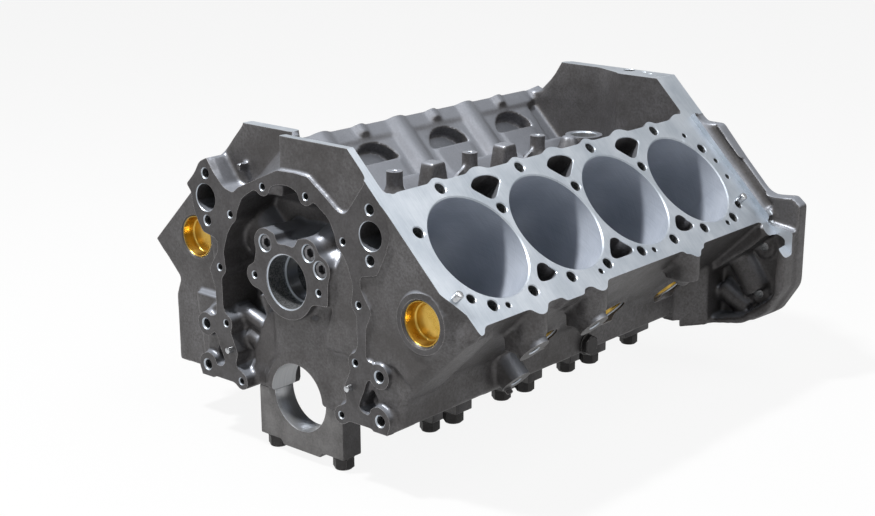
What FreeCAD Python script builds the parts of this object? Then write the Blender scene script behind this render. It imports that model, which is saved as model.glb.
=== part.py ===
import FreeCAD, Part
import math
import os
import re

# Bare engine block of a 90 degree V8, cast in iron, with its main caps, cap bolts, core plugs and
# drain plugs. X is across the engine, Y runs from the timing face to the rear, Z is up.
# The origin lies on the crankshaft axis, at the front end of the first main bearing bore.

doc = FreeCAD.newDocument("engine_block")
sheet = doc.addObject("Spreadsheet::Sheet", "Sizes")

# Driving dimensions in millimetres. Each has its own cell, and the objects read them from there.
SIZES = {
    "bore_radius": 52.39,
    "bore_spacing": 111.76,
    "bore_depth": 150.0,
    "bank_offset": 22.35,
    "deck_height": 229.2,
    "deck_dowel_radius": 4.0,
    "deck_dowel_depth": 14.0,
    "deck_dowel_proud": 9.0,
    "front_overhang": 12.4,
    "block_length": 512.3,
    "first_bore": 77.8,
    "bank_front": 3.0,
    "bank_rear": 489.8,
    "wall_outer": 70.0,
    "wall_inner": 64.0,
    "cam_height": 114.8,
    "cam_bore_radius": 24.8,
    "cam_bay_radius": 38.0,
    "cam_boss_radius": 34.5,
    "main_bore_radius": 33.54,
    "main_width": 24.0,
    "rear_main_width": 48.0,
    "crank_bay_radius": 99.0,
    "pan_rail_drop": 2.0,
    "pan_half_width": 137.0,
    "pan_wall": 11.0,
    "valley_top": 248.0,
    "valley_wall": 12.0,
    "end_wall_shoulder": 36.0,
    "lifter_radius": 10.7,
    "lifter_boss_radius": 15.5,
    "lifter_boss_reach": 68.0,
    "lifter_pitch": 34.0,
    "timing_depth": 46.0,
    "timing_dowel_radius": 3.2,
    "timing_dowel_depth": 12.0,
    "timing_dowel_proud": 6.0,
    "pump_port_radius": 13.0,
    "pump_port_depth": 40.0,
    "core_plug_radius": 20.6,
    "core_boss_radius": 26.0,
    "core_plug_depth": 13.0,
    "core_plug_sink": 2.0,
    "cap_height": 49.0,
    "cap_half_width": 55.0,
    "wide_cap_half_width": 88.0,
    "wide_cap_step": 32.0,
    "cap_bolt_spread": 43.5,
    "outer_bolt_spread": 74.0,
    "cap_bolt_head": 13.0,
    "cap_bolt_head_radius": 10.5,
    "mount_plane": 97.0,
    "mount_boss_radius": 14.5,
    "mount_pitch": 90.0,
    "mount_upper_drop": 33.3,
    "mount_lower_drop": 111.8,
    "bell_flange": 14.3,
    "post_top": 193.0,
    "post_radius": 7.8,
    "distributor_radius": 14.0,
    "distributor_boss_radius": 20.0,
}
for row, (alias, value) in enumerate(SIZES.items(), start=1):
    sheet.set("A%d" % row, alias)
    sheet.set("B%d" % row, "%g" % value)
    sheet.setAlias("B%d" % row, alias)
doc.recompute()

V = FreeCAD.Vector
HALF = math.sqrt(0.5)
BORES = 4
OVERRUN = 5.0


def size(alias):
    return float(sheet.get(alias))


def bind(thing, prop, value):
    """Set a property to a number, or to an expression of the sheet's names."""
    if isinstance(value, str):
        thing.setExpression(prop, re.sub(r"[a-z_]{4,}", lambda m: "Sizes." + m.group(), value))
    else:
        setattr(thing, prop, value)


def at_y(distance):
    """Place along Y of what lies this far behind the timing face."""
    return distance - size("front_overhang")


FRONT = at_y(0.0)
REAR = at_y(size("block_length"))


def frame(origin, x_dir, z_dir):
    """Placement whose own X and Z run along the two directions."""
    y_dir = z_dir.cross(x_dir)
    return FreeCAD.Placement(FreeCAD.Matrix(
        x_dir.x, y_dir.x, z_dir.x, origin.x,
        x_dir.y, y_dir.y, z_dir.y, origin.y,
        x_dir.z, y_dir.z, z_dir.z, origin.z,
        0, 0, 0, 1))


def cylinder(name, radius, length, base, axis):
    thing = doc.addObject("Part::Cylinder", name)
    bind(thing, "Radius", radius)
    bind(thing, "Height", length)
    thing.Placement = FreeCAD.Placement(base, FreeCAD.Rotation(V(0, 0, 1), axis))
    return thing


def box(name, low, high):
    thing = doc.addObject("Part::Box", name)
    thing.Length, thing.Width, thing.Height = high.x - low.x, high.y - low.y, high.z - low.z
    thing.Placement.Base = low
    return thing


def rounded(points):
    """Edges of a closed outline. A point may carry a third number, the radius of its corner."""
    corners = []
    for i, point in enumerate(points):
        here = V(point[0], point[1], 0)
        if len(point) < 3:
            corners.append((here, here, None))
            continue
        before = V(*points[i - 1][:2], 0) - here
        after = V(*points[(i + 1) % len(points)][:2], 0) - here
        half_angle = before.getAngle(after) / 2
        reach = point[2] / math.tan(half_angle)
        reach = min(reach, 0.49 * before.Length, 0.49 * after.Length)
        radius = reach * math.tan(half_angle)
        before.normalize()
        after.normalize()
        inward = before + after
        inward.normalize()
        middle = here + inward * (radius / math.sin(half_angle) - radius)
        corners.append((here + before * reach, here + after * reach, middle))
    edges = []
    for i, (start, end, middle) in enumerate(corners):
        if middle is not None:
            edges.append(Part.Arc(start, middle, end))
        following = corners[(i + 1) % len(corners)][0]
        if end.distanceToPoint(following) > 1e-6:
            edges.append(Part.LineSegment(end, following))
    return edges


def prism(name, outline, placement, direction, length):
    """Solid of an outline drawn in the XY plane of a placement and drawn out along a direction."""
    sketch = doc.addObject("Sketcher::SketchObject", name + "_outline")
    sketch.Placement = placement
    sketch.addGeometry(rounded(outline), False)
    thing = doc.addObject("Part::Extrusion", name)
    thing.Base = sketch
    thing.DirMode = "Custom"
    thing.Dir = direction
    bind(thing, "LengthFwd", length)
    thing.Solid = True
    return thing


def section(name, outline, start, length):
    """Prism of an outline in X and Z that starts at a place along Y and runs to the rear."""
    return prism(name, outline, frame(V(0, start, 0), V(1, 0, 0), V(0, -1, 0)), V(0, 1, 0), length)


def plan(name, outline, level, length):
    """Prism of an outline in X and Y that starts at a level and rises."""
    return prism(name, outline, frame(V(0, 0, level), V(1, 0, 0), V(0, 0, 1)), V(0, 0, 1), length)


def drum(name, sides, radius, length, base, axis, side_way):
    """Bar of many flat sides, where a true cylinder would only add facets."""
    return prism(name, regular(sides, size(radius)), frame(base, side_way, axis), axis, length)


def fused(name, things):
    group = doc.addObject("Part::MultiFuse", name)
    group.Shapes = things
    group.Refine = False
    return group


def cut(name, base, tool, refine=False):
    thing = doc.addObject("Part::Cut", name)
    thing.Base, thing.Tool = base, tool
    thing.Refine = refine
    return thing


def mirrored(points):
    """Outline of the whole from its half on +X, listed from the bottom to the top."""
    return points + [(-p[0],) + tuple(p[1:]) for p in reversed(points)]


def regular(sides, reach):
    """Outline of a regular polygon with its corners this far from its middle."""
    return [(reach * math.cos(2 * math.pi * k / sides), reach * math.sin(2 * math.pi * k / sides))
            for k in range(sides)]


def hexagon(across):
    """Outline of a hexagon of this width across its flats."""
    return regular(6, across / math.sqrt(3))


class Bank:
    """One row of cylinders, seen from above its deck: along, up the slope and out of the deck.

    The two rows are the same, turned half round about Z, so the right one counts from the rear.
    """

    def __init__(self, name, side):
        self.name, self.side = name, side
        self.along = V(0, side, 0)
        self.slope = V(-side * HALF, 0, HALF)
        self.out = V(side * HALF, 0, HALF)
        first = size("first_bore")
        if side < 0:
            first += size("bank_offset") + (BORES - 1) * size("bore_spacing")
        self.origin = self.out * size("deck_height") + V(0, at_y(first), 0)

    def point(self, along, slope, out=0.0):
        return self.origin + self.along * along + self.slope * slope + self.out * out

    def prism(self, name, outline, top, length):
        placement = frame(self.point(0, 0, top), self.along, self.out)
        return prism(name + self.name, outline, placement, self.out * -1, length)

    def cross(self, name, outline, start, length):
        """Prism of an outline in slope and out that runs along the bank."""
        placement = frame(self.point(start, 0), self.slope, self.along)
        return prism(name + self.name, outline, placement, self.along, length)

    def hole(self, name, radius, depth, along, slope, top=0.0):
        """Hole square to the deck that starts a little above the level it is drilled from."""
        base = self.point(along, slope, top + OVERRUN)
        return cylinder(name + self.name, radius, depth + " + %g" % OVERRUN, base, self.out * -1)


LEFT = Bank("_left", 1)
RIGHT = Bank("_right", -1)
PAIR = (LEFT, RIGHT)
PITCH = size("bore_spacing")
BORE_PLACES = [i * PITCH for i in range(BORES)]
BETWEEN = [(i - 0.5) * PITCH for i in range(BORES + 1)]
BANK_START = size("bank_front") - size("first_bore")
BANK_END = size("bank_rear") - size("first_bore")
RIM_START = BANK_START - 2.0
WALL_OUT = size("wall_outer")
WALL_IN = size("wall_inner")
CAM = size("cam_height")
VALLEY_FLOOR = CAM + 40.0
DROP = size("pan_rail_drop")
PAN = size("pan_half_width")
DECK_LINE = size("deck_height") / HALF

# Places of the five main bearings: the crankpins lie midway between the two bores of a pair.
first_pin = size("first_bore") + size("bank_offset") / 2
main_centres = [at_y(first_pin + (i - 0.5) * PITCH) for i in range(BORES + 1)]
main_ranges = [(at_y(size("front_overhang")), at_y(size("front_overhang")) + size("main_width"))]
for centre in main_centres[1:-1]:
    main_ranges.append((centre - size("main_width") / 2, centre + size("main_width") / 2))
main_ranges.append((REAR - size("rear_main_width"), REAR))

solids = []
inside = []
openings = []
hollows = []
AFT = V(0, 1, 0)
UP = V(0, 0, 1)

# Crankcase, with the front foot and web, and the two banks that stand on it.
WALL_FOOT = PAN - 2 * WALL_OUT * HALF
solids.append(section("crankcase", [
    (-PAN, -DROP), (PAN, -DROP), (PAN, WALL_FOOT), (70, VALLEY_FLOOR), (-70, VALLEY_FLOOR),
    (-PAN, WALL_FOOT)], at_y(24.0), size("block_length") - 24.0))
solids.append(section("front_foot", [
    (-122, -DROP), (PAN, -DROP), (PAN, WALL_FOOT), (98, 77), (-98, 77), (-122, 62)], at_y(7.0), 20.0))
solids.append(section("front_web", [
    (-100, 70), (100, 70), (110, 140), (78, 186), (-78, 186), (-110, 140)], at_y(6.0), 57.0))
for bank in PAIR:
    solids.append(bank.prism("bank", [
        (BANK_START, -WALL_OUT), (BANK_END, -WALL_OUT), (BANK_END, WALL_IN), (BANK_START, WALL_IN)],
        0.0, 160.0))

# The coolant jackets between the cylinders swell the valley wall, and the deck has a front rim.
for bank in PAIR:
    for i, place in enumerate(BETWEEN[1:]):
        v = min(place, BANK_END - 21)
        solids.append(bank.prism("jacket_bulge%d" % i, [
            (v - 21, 50), (v - 18, 67), (v - 9, 73), (v + 9, 73), (v + 18, 67), (v + 21, 50)],
            0.0, 112.0))
    solids.append(bank.prism("rim_front", [
        (RIM_START, -77), (-58, -77), (-50, -68), (-50, 60), (-54, 68), (RIM_START, 76)], 0.0, 15.0))

# The deck's lower edge carries bumps over the outer bolts, and a band joins it to the bell flange.
EDGE_BUMPS = [(54, 90), (250, 290)]
for bank in PAIR:
    for i, (start, end) in enumerate(EDGE_BUMPS):
        solids.append(bank.prism("edge_bump%d" % i, [
            (start, -60), (start + 4, -75), (end - 4, -75), (end, -60)], 0.0, 18.0))
solids.append(section("rear_band", [
    (110, 120), (210, 70), (225, 98), (DECK_LINE - 112, 112), (112, DECK_LINE - 112), (90, 200)],
    at_y(488.0), 12.0))

# Lifter gallery wall: a flat below each bore with an arched pocket over it, and the lifter ridge.
LIFTER_LINE = CAM * HALF
FLAT_FACE = LIFTER_LINE - size("lifter_radius") - 0.5
RIDGE = LIFTER_LINE + size("lifter_boss_radius")
LIFTER_TOP = size("lifter_boss_reach") + CAM * HALF - size("deck_height")
FLAT_HALF = 26.5
FLAT_TOP = -43.0
for bank in PAIR:
    for i, place in enumerate(BORE_PLACES):
        openings.append(prism("arch%d%s" % (i, bank.name), [
            (-FLAT_HALF, 60), (-FLAT_HALF, 43), (-22, 35), (-12, 29), (12, 29), (22, 35),
            (FLAT_HALF, 43), (FLAT_HALF, 60)],
            frame(bank.point(place, 55.0), bank.along, bank.slope), bank.slope, 30.0))
        inside.append(bank.cross("lifter_block%d" % i, [
            (50, -120), (50, FLAT_TOP), (FLAT_FACE, FLAT_TOP), (FLAT_FACE, LIFTER_TOP), (RIDGE, LIFTER_TOP),
            (RIDGE, -120)], place - FLAT_HALF, 2 * FLAT_HALF))
        for j, step in enumerate((-0.5, 0.5)):
            y = bank.point(place + step * size("lifter_pitch"), 0).y
            hollows.append(cylinder("lifter_bore%d%d%s" % (i, j, bank.name), "lifter_radius",
                                    "lifter_boss_reach + 30", V(0, y, CAM), bank.out))
# The front web is cut back over the first lifter of the left bank, so that it can be put in.
FIRST_LIFTER = LEFT.point(-size("lifter_pitch") / 2, 0).y
hollows.append(cylinder("lifter_clearance", "lifter_radius + 2", 60.0,
                        V(0, FIRST_LIFTER, CAM) + LEFT.out * size("lifter_boss_reach"), LEFT.out))

# Valley: its end walls, each set back on the right, and the cam bay's vents and posts on the floor.
WALL_TOP = size("valley_top")
WALL_END = DECK_LINE - WALL_TOP + size("end_wall_shoulder")
solids.append(section("valley_front", [
    (-24, 150), (WALL_END, 150), (WALL_END, DECK_LINE - WALL_END), (DECK_LINE - WALL_TOP, WALL_TOP),
    (-24, WALL_TOP)], FRONT, size("valley_wall")))
solids.append(section("valley_front_back", [
    (-112, 150), (0, 150), (-12, WALL_TOP), (-76, WALL_TOP), (-92, 230), (-108, 213), (-112, 205)],
    at_y(22.35), size("valley_wall")))
solids.append(section("valley_rear", [
    (24, 150), (WALL_END, 150), (WALL_END, DECK_LINE - WALL_END), (DECK_LINE - WALL_TOP, WALL_TOP),
    (24, WALL_TOP)], REAR - size("bank_offset") - size("valley_wall"),
    size("valley_wall") + size("bank_offset")))
solids.append(section("valley_rear_back", [
    (-112, 150), (40, 150), (40, WALL_TOP), (-62, WALL_TOP), (-103, 209), (-112, 205)],
    REAR - size("valley_wall"), size("valley_wall")))
post_places = [centre for centre in main_centres[1:4]]
for i, y in enumerate(post_places):
    solids.append(plan("post%d" % i, [(x, y + dy) for x, dy in hexagon(2 * size("post_radius"))],
                       VALLEY_FLOOR - OVERRUN, size("post_top") - VALLEY_FLOOR + OVERRUN))
vent_places = [(a + b) / 2 for a, b in zip(post_places, post_places[1:])]
for i, y in enumerate(vent_places):
    solids.append(prism("vent%d" % i, [
        (y - 20, 150), (y + 20, 150), (y + 9, size("post_top")), (y - 9, size("post_top"))],
        frame(V(-9, 0, 0), AFT, V(1, 0, 0)), V(1, 0, 0), 18.0))
    solids.append(prism("web%d" % i, [
        (y, 150), (y + PITCH / 2, 150), (y + PITCH / 2, 186), (y + 12, 162)],
        frame(V(-2, 0, 0), AFT, V(1, 0, 0)), V(1, 0, 0), 4.0))
DISTRIBUTOR_Y = at_y(452.0)
solids.append(drum("distributor_boss", 16, "distributor_boss_radius", "post_top - cam_height - 42",
                   V(0, DISTRIBUTOR_Y, CAM + 30), UP, V(1, 0, 0)))
hollows.append(cylinder("distributor_bore", "distributor_radius", 100.0,
                        V(0, DISTRIBUTOR_Y, CAM), UP))

# Timing face: a raised rail round a deep chest, with the pads of the coolant pump beside it.
rail_half = [
    (58, -DROP), (86, -DROP), (86, 12), (92, 24), (92, 38), (99, 48), (97, 72), (98, 92),
    (105, 108), (92, 127), (92, 139), (112, 143), (124, 166), (126, 182), (122, 196), (111, 211),
    (100, 216), (82, 191), (68, 187), (38, 210), (29, 214)]
solids.append(section("timing_rail", mirrored(rail_half), FRONT, 20.0))
foot_half = [
    (84, -DROP), (122, -DROP), (126, 8), (119, 20), (106, 25), (122, 42), (124, 52), (116, 62), (96, 62),
    (92, 30)]
solids.append(section("rail_foot_left", foot_half, FRONT, 10.0))
solids.append(section("rail_foot_right", [(-p[0],) + tuple(p[1:]) for p in foot_half], FRONT, 10.0))
chest_half = [
    (58, 0), (60, 10), (74, 17), (70, 30), (79, 50), (88, 74), (88, 103), (82, 114), (84, 128),
    (78, 146), (66, 164), (56, 184), (38, 196), (28, 191), (18, 201), (8, 205)]
openings.append(section("timing_chest", mirrored(chest_half), FRONT - OVERRUN,
                        "timing_depth + %g" % OVERRUN))

# Inside the chest: cam boss with its ears, and the bulkhead that carries the first main bearing.
BEHIND_CHEST = size("timing_depth") + 10.0
inside.append(cylinder("cam_boss", "cam_boss_radius", BEHIND_CHEST, V(0, FRONT, CAM), AFT))
inside.append(section("cam_boss_body", [
    (-30, 100), (-46, 103), (-53, 114), (-42, 125), (-34, 158), (-24, 160), (-14, 158), (-10, 146),
    (10, 146), (16, 158), (28, 161), (38, 154), (54, 136), (52, 102), (30, 100)],
    FRONT, BEHIND_CHEST))
inside.append(section("main_bulkhead", [
    (-60, 0), (60, 0), (62, 30), (46, 66), (30, 84), (-30, 84), (-46, 66), (-62, 30)],
    at_y(size("front_overhang")), 40.0))
inside.append(section("chest_web", [
    (40, 60), (92, 60), (96, 150), (66, 170), (50, 95)], at_y(5.0), 44.0))

# Crankcase bays, open to the bores above, with the camshaft's bay at the top, and the two long bores.
BAY = size("crank_bay_radius") / HALF
WALL = PAN - size("pan_wall")
CAM_SIDE = size("cam_bay_radius")
bay_half = [
    (WALL, -DROP - OVERRUN), (WALL, BAY - WALL), (CAM_SIDE, BAY - CAM_SIDE),
    (CAM_SIDE, CAM + CAM_SIDE - 20), (CAM_SIDE - 20, CAM + CAM_SIDE)]
for i in range(BORES):
    start, end = main_ranges[i][1], main_ranges[i + 1][0]
    hollows.append(section("crank_bay%d" % i, mirrored(bay_half), start, end - start))
LONG = size("block_length") + 2 * OVERRUN
hollows.append(cylinder("main_bore", "main_bore_radius", LONG, V(0, FRONT - OVERRUN, 0), AFT))
hollows.append(cylinder("cam_bore", "cam_bore_radius", LONG, V(0, FRONT - OVERRUN, CAM), AFT))
SEAT = PAN - 30
hollows.append(box("cap_seat", V(-SEAT, FRONT - OVERRUN, -20), V(SEAT, REAR + OVERRUN, 0)))

# Cylinder bores and the coolant passages between them.
UPPER_PORT = [(-20, 56), (-11, 65), (14, 65), (22, 56), (3, 40), (-7, 40)]
LOWER_PORT = [(-15, -49), (-5, -33), (5, -33), (15, -49)]
for bank in PAIR:
    for i, place in enumerate(BORE_PLACES):
        hollows.append(bank.hole("bore%d" % i, "bore_radius", "bore_depth", place, 0))
    for i, place in enumerate(BETWEEN[1:-1]):
        for kind, port in (("upper", UPPER_PORT), ("lower", LOWER_PORT)):
            outline = [(place + v, w) for v, w in port]
            hollows.append(bank.prism("%s_port%d" % (kind, i), outline, OVERRUN, 35.0))

# Coolant ports of the two pump pads.
for side in (-1, 1):
    hollows.append(cylinder("pump_port_%d" % (side + 1), "pump_port_radius",
                            "pump_port_depth + 5", V(side * 105.8, FRONT - OVERRUN, 176.7), AFT))

# Outer walls: the three pads of each engine mount, in one sloping plane, and their columns.
MOUNT = size("mount_plane")
for bank in PAIR:
    centre = (main_centres[1] - bank.origin.y) * bank.side
    for i, (shift, drop) in enumerate(((-0.5, "mount_upper_drop"), (0.5, "mount_upper_drop"),
                                       (0.0, "mount_lower_drop"))):
        face = bank.point(centre + shift * size("mount_pitch"), -MOUNT, -size(drop))
        solids.append(drum("mount_boss%d%s" % (i, bank.name), 16, "mount_boss_radius",
                           "mount_plane - wall_outer + 12", face, bank.slope, bank.along))
COLUMNS = [
    (203.0, main_centres[1] - size("mount_pitch") / 2, 68.0, 13.5),
    (203.0, main_centres[1] + size("mount_pitch") / 2, 68.0, 13.5),
    (207.0, at_y(347.0), 78.0, 12.0)]
for i, (x, y, foot, radius) in enumerate(COLUMNS):
    solids.append(plan("column%d" % i, [
        (x - 20, y - radius), (x, y - radius), (x + 0.7 * radius, y - 0.7 * radius),
        (x + radius, y - 3), (x + radius, y + 3), (x + 0.7 * radius, y + 0.7 * radius),
        (x, y + radius), (x - 20, y + radius)], foot, 66.0))
openings.append(LEFT.prism("above_deck", [
    (-50, -120), (BANK_END - 5, -120), (BANK_END - 5, 0), (-50, 0)], 60.0, 60.0))
solids.append(section("fuel_pump_pad", [
    (-125, -DROP), (-186, -DROP), (-186, 60), (-172, 96), (-125, 96)], at_y(24.0), 68.0))

# Rear: bell housing flange with an open pocket on each side.
solids.append(section("bell_flange", [
    (60, -DROP), (118, -12), (150, -14), (197, -5), (226, 12, 20), (246, 44, 20), (246, 130),
    (236, 138), (206, 135, 22), (172, 170, 22), (142, 203), (122, 203), (110, 213), (-110, 211),
    (-214, 108), (-240, 100), (-246, 44, 20), (-226, 12, 20), (-197, -5), (-150, -14),
    (-118, -12), (-60, -DROP)], REAR - size("bell_flange"), "bell_flange"))
ear_half = [
    (120, -DROP), (150, -12), (196, -3), (224, 13, 20), (244, 45, 20), (244, 104), (212, 108),
    (150, 60), (120, 40)]
pocket_half = [
    (158, -4), (196, 6), (232, 34, 16), (236, 96), (222, 100), (200, 80), (158, 48)]
skirt_half = [
    (110, REAR - 80), (PAN, REAR - 80), (PAN + 2, REAR - 66), (158, REAR - 36), (158, REAR - 4),
    (110, REAR - 4)]
EAR_DEPTH = 38.0
for side in (-1, 1):
    ear = [(side * p[0],) + tuple(p[1:]) for p in ear_half]
    pocket = [(side * p[0],) + tuple(p[1:]) for p in pocket_half]
    solids.append(section("ear_%d" % (side + 1), ear, REAR - EAR_DEPTH, EAR_DEPTH - 2.0))
    openings.append(section("ear_pocket_%d" % (side + 1), pocket, REAR - EAR_DEPTH - 30.0,
                            EAR_DEPTH + 30.0 - size("bell_flange")))
    solids.append(plan("skirt_%d" % (side + 1), [(side * x, y) for x, y in skirt_half], -DROP, 60.0))

# Pressed and screwed pieces. Each is made once per place, and its seat is cut from the block.
def core_plug(name, face, inward, side_way):
    """Plug pressed into a machined hole, a little below the face."""
    hollows.append(drum(name + "_seat", 24, "core_plug_radius", "core_plug_depth + 7",
                        face - inward * OVERRUN, inward, side_way))
    return drum(name, 24, "core_plug_radius", "core_plug_depth",
                face + inward * size("core_plug_sink"), inward, side_way)


def dowels(name, kind, face, inward, side_way):
    """Pin pressed into its own hole, with its end standing proud of the face."""
    radius, depth, proud = (size("%s_dowel_%s" % (kind, part)) for part in ("radius", "depth", "proud"))
    outline = regular(8, radius)
    hollows.append(prism(name + "_seat", outline, frame(face, side_way, inward), inward, depth))
    return prism(name, outline, frame(face - inward * proud, side_way, inward), inward, depth + proud)


timing_dowels = [dowels("timing_dowel%d" % (side + 1), "timing", V(side * 78.5, FRONT, 32.8), AFT,
                        V(1, 0, 0)) for side in (-1, 1)]
deck_dowels = [dowels("deck_dowel%d%s" % (i, bank.name), "deck", bank.point(*place), bank.out * -1,
                      bank.along)
               for bank in PAIR for i, place in enumerate(((-65, -39), (391, -40)))]

core_plugs = []
FRONT_PLUGS = [(162.5, 110.0, at_y(1.0), 14.0), (-149.0, 126.5, at_y(22.35), 14.0)]
for i, (x, z, y, depth) in enumerate(FRONT_PLUGS):
    solids.append(drum("front_plug_boss%d" % i, 20, "core_boss_radius", depth, V(x, y, z), AFT,
                       V(1, 0, 0)))
    core_plugs.append(core_plug("front_core_plug%d" % i, V(x, y, z), AFT, V(1, 0, 0)))
for bank in PAIR:
    for i, place in enumerate(BORE_PLACES[1:]):
        core_plugs.append(core_plug("side_core_plug%d%s" % (i, bank.name),
                                    bank.point(place, -WALL_OUT, -100.0), bank.slope, bank.along))

drain_plugs = []
for side in (-1, 1):
    face = V(side * PAN, at_y(275.0), 14.0)
    drain_plugs.append(prism("drain_plug%d" % (side + 1), hexagon(19.0),
                             frame(face, V(0, 0, 1), V(-side, 0, 0)), V(side, 0, 0), 8.0))

# Main bearing caps, with two or four bolts each.
caps = []
CAP_LOW, STEP = size("cap_height"), size("wide_cap_step")
WIDE, NARROW = size("wide_cap_half_width"), size("cap_half_width")
narrow_cap = [(24, -CAP_LOW - 5), (28, -CAP_LOW), (NARROW, -CAP_LOW), (NARROW, 0)]
wide_cap = [(24, -CAP_LOW - 5), (28, -CAP_LOW), (NARROW + 2, -CAP_LOW), (NARROW + 5, -STEP),
            (WIDE, -STEP), (WIDE, 0)]
cap_bolts = {"inner": [], "outer": []}
for i, (start, end) in enumerate(main_ranges):
    wide = 0 < i < len(main_ranges) - 1
    middle = (start + end) / 2
    blank = section("cap_blank%d" % (i + 1), mirrored(wide_cap if wide else narrow_cap), start,
                    end - start)
    bore = cylinder("cap_bore%d" % (i + 1), "main_bore_radius", end - start + 2 * OVERRUN,
                    V(0, start - OVERRUN, 0), AFT)
    rows = [("inner", "cap_bolt_spread", -CAP_LOW)]
    if wide:
        rows.append(("outer", "outer_bolt_spread", -STEP))
    for kind, spread, seat in rows:
        for side in (-1, 1):
            x = side * size(spread)
            name = "%s_bolt%d_%d" % (kind, i + 1, side + 1)
            cap_bolts[kind].append(prism(
                name, hexagon(18.2), frame(V(x, middle, seat), V(1, 0, 0), V(0, 0, -1)),
                V(0, 0, -1), "cap_bolt_head"))
    caps.append(cut("cap%d" % (i + 1), blank, bore))

block_blank = fused("block_blank", solids)
block_opened = cut("block_opened", block_blank, fused("block_openings", openings))
block_filled = fused("block_filled", [block_opened] + inside)
block = cut("block", block_filled, fused("block_hollows", hollows), refine=True)


def group(name, things):
    """Node of several separate solids of one kind."""
    node = doc.addObject("Part::Compound", name)
    node.Links = things
    return node


nodes = {"block": block}
for i, cap in enumerate(caps):
    nodes["main_cap_%d" % (i + 1)] = cap
nodes["inner_cap_bolts"] = group("inner_cap_bolts", cap_bolts["inner"])
nodes["outer_cap_bolts"] = group("outer_cap_bolts", cap_bolts["outer"])
nodes["core_plugs"] = group("core_plugs", core_plugs)
nodes["drain_plugs"] = group("drain_plugs", drain_plugs)
nodes["timing_dowels"] = group("timing_dowels", timing_dowels)
nodes["deck_dowels"] = group("deck_dowels", deck_dowels)

doc.recompute()
for thing in doc.Objects:
    if "Invalid" in thing.State or "Error" in thing.State:
        raise RuntimeError("%s: %s" % (thing.Name, thing.State))
os.makedirs("parts", exist_ok=True)
for label, thing in nodes.items():
    thing.Label = label
    shape = thing.Shape
    if shape.isNull() or not shape.isValid():
        raise RuntimeError("%s has no valid shape" % label)
    shape.exportStep("parts/%s.step" % label)
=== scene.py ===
import math

import bmesh
import bpy
from mathutils import Euler, Matrix, Vector


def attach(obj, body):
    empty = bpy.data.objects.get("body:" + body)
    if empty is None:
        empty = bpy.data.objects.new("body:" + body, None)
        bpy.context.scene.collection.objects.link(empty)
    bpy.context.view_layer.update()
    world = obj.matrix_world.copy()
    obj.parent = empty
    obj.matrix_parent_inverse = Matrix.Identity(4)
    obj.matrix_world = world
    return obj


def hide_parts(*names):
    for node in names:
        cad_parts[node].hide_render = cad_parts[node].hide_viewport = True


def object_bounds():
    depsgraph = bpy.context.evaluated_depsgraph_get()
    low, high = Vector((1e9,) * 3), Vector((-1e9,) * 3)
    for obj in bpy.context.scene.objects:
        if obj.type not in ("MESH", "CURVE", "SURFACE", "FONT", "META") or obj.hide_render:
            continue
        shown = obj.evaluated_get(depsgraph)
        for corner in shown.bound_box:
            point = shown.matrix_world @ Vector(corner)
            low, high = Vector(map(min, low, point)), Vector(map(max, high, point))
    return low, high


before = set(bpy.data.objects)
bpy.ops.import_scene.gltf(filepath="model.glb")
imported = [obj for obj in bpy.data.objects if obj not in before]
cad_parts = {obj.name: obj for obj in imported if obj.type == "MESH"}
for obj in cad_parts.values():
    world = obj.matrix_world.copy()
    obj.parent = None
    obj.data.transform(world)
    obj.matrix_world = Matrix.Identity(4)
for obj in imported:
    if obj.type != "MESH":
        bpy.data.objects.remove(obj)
cad_box = [list(corner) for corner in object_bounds()]
MM = 0.001

# Camera.
# A short telephoto stands above the front right corner of the engine, a metre and a half away.
# It looks down on the near deck and straight at the timing face.
camera = bpy.data.objects.new("camera", bpy.data.cameras.new("camera"))
bpy.context.scene.collection.objects.link(camera)
camera.location = (1.00392, -0.94642, 0.53146)
camera.rotation_euler = Euler([math.radians(angle) for angle in (73.185, -0.3404, 39.4535)])
camera.data.lens = 64.726
camera.data.sensor_width = 36.0
camera.data.shift_x = -0.0601
camera.data.shift_y = 0.0221
camera.data.clip_end = 50.0
bpy.context.scene.camera = camera


class Socket:
    """A value in a material's nodes. Arithmetic on it adds the Math nodes that work it out."""

    def __init__(self, shader, link):
        self.shader, self.link = shader, link

    def _math(self, operation, *values):
        return self.shader.node("ShaderNodeMath", {"operation": operation}, *values)

    def __add__(self, other):
        return self._math("ADD", self, other)

    def __sub__(self, other):
        return self._math("SUBTRACT", self, other)

    def __mul__(self, other):
        return self._math("MULTIPLY", self, other)

    def __rsub__(self, other):
        return self._math("SUBTRACT", other, self)

    __radd__ = __add__
    __rmul__ = __mul__

    def clipped(self, low, high):
        """Nought below low, one above high, and a straight rise between."""
        return self.shader.node("ShaderNodeMapRange", {"clamp": True}, Value=self,
                                **{"From Min": low, "From Max": high})


class Nodes:
    """A tree of nodes and the tools to fill it."""

    def __init__(self, tree):
        self.tree = tree

    def feed(self, socket, value):
        """Link a socket to a value that varies, or set it to a plain one."""
        if isinstance(value, Socket):
            self.tree.links.new(value.link, socket)
        elif socket.type == "RGBA" and len(value) == 3:
            socket.default_value = (*value, 1.0)
        else:
            socket.default_value = value

    def node(self, kind, settings, *values, output=0, **named):
        """Add a node: its settings first, then the values or links of its sockets."""
        made = self.tree.nodes.new(kind)
        for key, value in settings.items():
            setattr(made, key, value)
        for key, value in [*enumerate(values), *named.items()]:
            self.feed(made.inputs[key], value)
        return Socket(self, made.outputs[output])

    def mix(self, share, first, second):
        """Colour between two others."""
        made = self.tree.nodes.new("ShaderNodeMix")
        made.data_type = "RGBA"
        for index, value in ((0, share), (6, first), (7, second)):
            self.feed(made.inputs[index], value)
        return Socket(self, made.outputs[2])


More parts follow.
